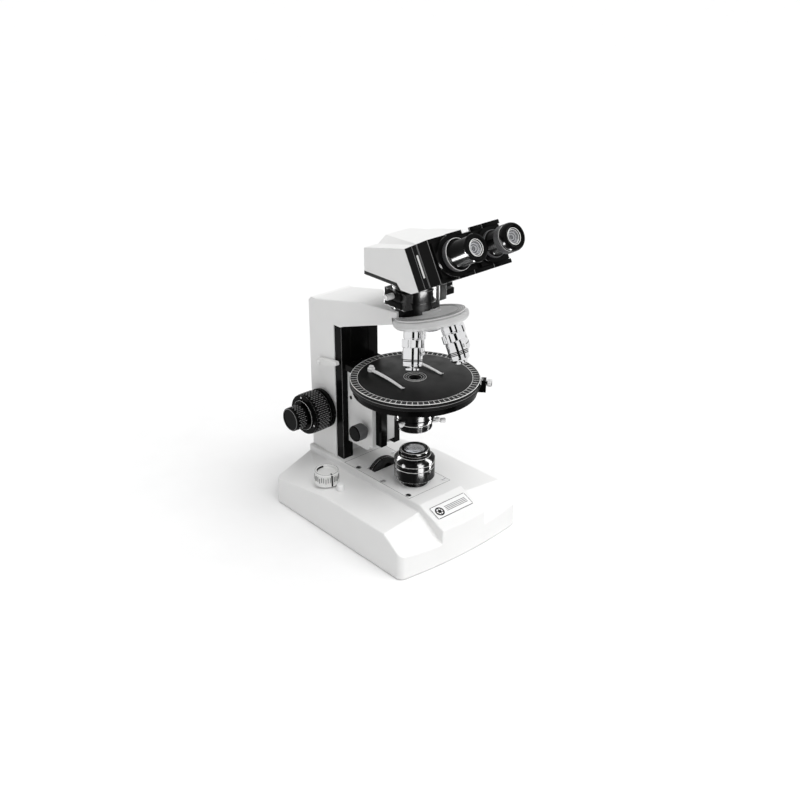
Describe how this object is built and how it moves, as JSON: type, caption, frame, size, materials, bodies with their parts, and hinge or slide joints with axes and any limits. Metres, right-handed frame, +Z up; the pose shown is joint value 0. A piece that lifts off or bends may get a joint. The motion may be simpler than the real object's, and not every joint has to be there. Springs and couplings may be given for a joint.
{
  "type": "polarizing microscope",
  "caption": "Upright binocular polarizing microscope: cast stand, focusing round stage, condenser, tilted turret with objectives, slides in the neck and inclined eyepieces.",
  "frame": {"origin": "middle of the overall footprint on the table plane", "axes": "+X to the user's right, -Y towards the user, +Z up along the optical axis"},
  "size_m": [0.2056, 0.316, 0.4411],
  "materials": {
    "white_paint": "smooth semi-gloss paint",
    "black_enamel": "deep gloss enamel",
    "black_anodised": "gloss black anodised",
    "bright_chrome": "polished",
    "satin_alloy": "satin",
    "grip_grey": "fine knurl",
    "tray_alloy": "cast",
    "black_plastic": "moulded",
    "white_plastic": "moulded",
    "foot_rubber": "matte",
    "optical_glass": "coated",
    "mirror_glass": "front coated",
    "bearing_brass": "turned",
    "shaft_steel": "ground",
    "transformer": "lacquered core",
    "socket_ceramic": "unglazed"
  },
  "bodies": {
    "stand": {"base_housing": "white_paint", "base_tray": "tray_alloy", "base_feet": "foot_rubber", "base_screws": "bright_chrome", "base_cover": "white_paint", "nameplate": "satin_alloy", "power_inlet": "black_plastic", "power_supply": "transformer", "lamp_socket": "socket_ceramic", "lamp_bulb": "optical_glass", "collector_lens": "optical_glass", "mirror": "mirror_glass", "pilot_lamp": "white_plastic", "dimmer_pot": "black_plastic", "field_collar": "black_anodised", "field_lens": "optical_glass", "stand_frame": "white_paint", "focus_rails": "black_enamel", "focus_bushes": "bearing_brass", "nosepiece_mount": "black_enamel", "nosepiece_pivot": "shaft_steel", "neck_tube": "black_enamel", "head_base": "black_plastic", "head_shell": "white_paint", "head_front": "black_enamel", "beam_splitter": "optical_glass"},
    "dimmer": {"dimmer_knob": "white_plastic"},
    "filters": {"filter_wheel": "black_plastic"},
    "field_diaphragm": {"field_ring": "black_anodised"},
    "coarse_focus": {"coarse_shaft": "shaft_steel", "coarse_knobs": "black_anodised"},
    "fine_focus": {"fine_shaft": "shaft_steel", "fine_knobs": "black_anodised"},
    "focus_stop": {"focus_lever": "white_plastic"},
    "stage_lift": {"stage_carrier": "white_paint", "condenser_rails": "black_enamel", "stage_base": "black_enamel"},
    "stage": {"stage_plate": "black_anodised", "stage_insert": "black_anodised"},
    "clip_left": {"left_clip": "bright_chrome"},
    "clip_right": {"right_clip": "bright_chrome"},
    "stage_lock": {"stage_lock_screw": "bright_chrome"},
    "condenser": {"condenser_carrier": "white_paint", "condenser_body": "black_anodised", "condenser_lens": "optical_glass"},
    "condenser_drive": {"condenser_knob": "grip_grey"},
    "polarizer": {"polarizer_ring": "black_anodised"},
    "nosepiece": {"nosepiece_disc": "satin_alloy", "objective_4x": "bright_chrome", "objective_10x": "bright_chrome", "objective_20x": "bright_chrome", "objective_50x": "bright_chrome", "objective_lenses": "optical_glass"},
    "analyzer": {"analyzer_slide": "black_anodised"},
    "bertrand": {"bertrand_slide": "black_anodised"},
    "eye_left": {"left_tube": "black_anodised", "left_eyepiece": "black_anodised"},
    "eye_right": {"right_tube": "black_anodised", "right_eyepiece": "black_anodised"},
    "eye_focus": {"right_focus_ring": "black_anodised"}
  },
  "joints": [
    {"name": "dimmer_turn", "type": "hinge", "parent": "stand", "child": "dimmer", "pos_m": [-0.076, 0.07004, 0.06], "axis": [0, 0, 1], "range_deg": [-135, 135]},
    {"name": "filter_turn", "type": "hinge", "parent": "stand", "child": "filters", "pos_m": [0, 0.04054, 0.052], "axis": [0, 1, 0], "continuous": true},
    {"name": "field_turn", "type": "hinge", "parent": "stand", "child": "field_diaphragm", "pos_m": [0, -0.01896, 0.105], "axis": [0, 0, 1], "range_deg": [-60, 60]},
    {"name": "stage_focus", "type": "slide", "parent": "stand", "child": "stage_lift", "axis": [0, 0, 1], "range_m": [-0.012, 0.018]},
    {"name": "coarse_turn", "type": "hinge", "parent": "stand", "child": "coarse_focus", "pos_m": [0, 0.12454, 0.1345], "axis": [1, 0, 0], "range_deg": [-135, 95]},
    {"name": "fine_turn", "type": "hinge", "parent": "stand", "child": "fine_focus", "pos_m": [0, 0.12454, 0.1345], "axis": [1, 0, 0], "continuous": true},
    {"name": "stop_turn", "type": "hinge", "parent": "stand", "child": "focus_stop", "pos_m": [-0.035, 0.12854, 0.2008], "axis": [1, 0, 0], "range_deg": [-25, 30]},
    {"name": "stage_turn", "type": "hinge", "parent": "stage_lift", "child": "stage", "pos_m": [0, -0.01896, 0.213], "axis": [0, 0, 1], "continuous": true},
    {"name": "left_clip_turn", "type": "hinge", "parent": "stage", "child": "clip_left", "pos_m": [-0.0295, 0.03104, 0.22], "axis": [0, 0, 1], "range_deg": [-15, 15]},
    {"name": "right_clip_turn", "type": "hinge", "parent": "stage", "child": "clip_right", "pos_m": [0.0295, 0.03104, 0.22], "axis": [0, 0, 1], "range_deg": [-15, 15]},
    {"name": "stage_lock_turn", "type": "hinge", "parent": "stage_lift", "child": "stage_lock", "pos_m": [0.05888, -0.08436, 0.214], "axis": [0.6691, -0.7431, 0], "range_deg": [-90, 0]},
    {"name": "condenser_focus", "type": "slide", "parent": "stage_lift", "child": "condenser", "axis": [0, 0, 1], "range_m": [-0.012, 0.002]},
    {"name": "condenser_knob_turn", "type": "hinge", "parent": "stage_lift", "child": "condenser_drive", "pos_m": [0, 0.05204, 0.124], "axis": [1, 0, 0], "range_deg": [-30, 145]},
    {"name": "polarizer_turn", "type": "hinge", "parent": "condenser", "child": "polarizer", "pos_m": [0, -0.01896, 0.153], "axis": [0, 0, 1], "range_deg": [-45, 45]},
    {"name": "nosepiece_turn", "type": "hinge", "parent": "stand", "child": "nosepiece", "pos_m": [0, -0.04904, 0.2975], "axis": [0, 0.2419, 0.9703], "continuous": true},
    {"name": "analyzer_pull", "type": "slide", "parent": "stand", "child": "analyzer", "axis": [1, 0, 0], "range_m": [-0.028, 0]},
    {"name": "bertrand_pull", "type": "slide", "parent": "stand", "child": "bertrand", "axis": [1, 0, 0], "range_m": [-0.026, 0]},
    {"name": "right_eye_shift", "type": "slide", "parent": "stand", "child": "eye_right", "axis": [1, 0, 0], "range_m": [-0.003, 0.0075]},
    {"name": "left_eye_shift", "type": "slide", "parent": "stand", "child": "eye_left", "axis": [1, 0, 0], "range_m": [-0.0075, 0.003]},
    {"name": "eye_focus_turn", "type": "hinge", "parent": "eye_right", "child": "eye_focus", "pos_m": [0.03, -0.10916, 0.4057], "axis": [0, -0.8829, 0.4695], "range_deg": [-150, 150]}
  ],
  "couplings": [
    {"joint": "coarse_turn", "follows": "stage_focus", "rad_per_m": -125},
    {"joint": "condenser_knob_turn", "follows": "condenser_focus", "rad_per_m": -200},
    {"joint": "left_eye_shift", "follows": "right_eye_shift", "ratio": -1}
  ]
}
